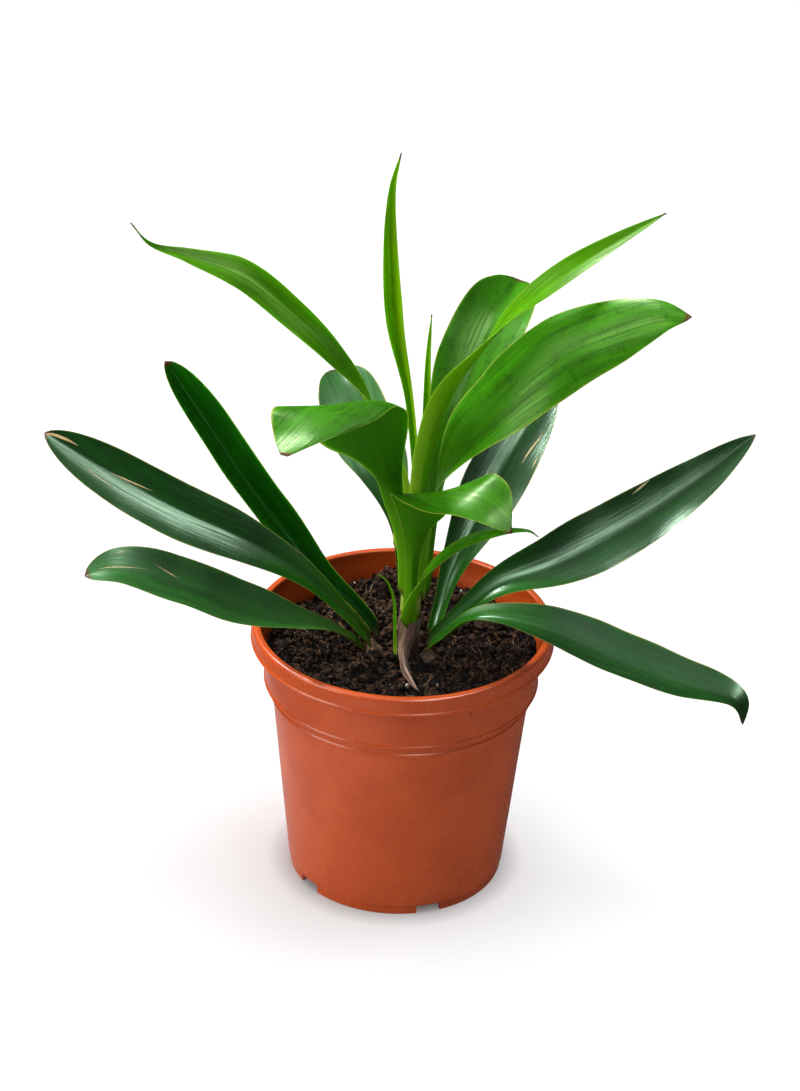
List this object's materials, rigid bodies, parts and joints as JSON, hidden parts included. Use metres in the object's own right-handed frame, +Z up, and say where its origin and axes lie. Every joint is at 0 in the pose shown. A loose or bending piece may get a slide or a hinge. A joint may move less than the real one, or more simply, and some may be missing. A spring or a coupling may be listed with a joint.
{
  "type": "potted cordyline",
  "caption": "Young cordyline with arching glossy strap leaves on short stems, in a round terracotta-coloured nursery pot with a stepped band and notched foot ring.",
  "frame": {"origin": "on the pot's axis, at the plane that its foot ring stands on", "axes": "+Z up along the pot's axis; -Y the front, with the longest leaves reaching out along X"},
  "size_m": [0.3949, 0.203, 0.4362],
  "materials": {
    "pot_plastic": "satin moulded polypropylene",
    "soil": "damp peat with fibre and white grit",
    "stem": "satin, sheathed in leaf bases",
    "crown": "matte, fibrous",
    "leaf_young": "satin, ribbed lengthwise",
    "leaf_fresh": "glossy, ribbed lengthwise",
    "leaf_dark": "glossy, ribbed lengthwise",
    "dry_sheath": "matte, papery"
  },
  "bodies": {
    "root": {"pot": "pot_plastic", "soil": "soil", "main_stem": "stem", "left_crown": "crown", "right_crown": "crown", "leaf_spear": "leaf_young", "leaf_spear_young": "leaf_young", "leaf_right_arch": "leaf_young", "leaf_left_arch": "leaf_young", "leaf_right_broad": "leaf_fresh", "leaf_back_broad": "leaf_fresh", "leaf_left_curled": "leaf_fresh", "leaf_front_curled": "leaf_fresh", "leaf_front_slim": "leaf_fresh", "sprout": "leaf_fresh", "leaf_left_back": "leaf_dark", "leaf_left_long": "leaf_dark", "leaf_left_folded": "leaf_dark", "leaf_left_low": "leaf_dark", "leaf_right_long": "leaf_dark", "leaf_right_low": "leaf_dark", "leaf_right_back": "leaf_dark", "dry_sheath": "dry_sheath"}
  },
  "joints": []
}
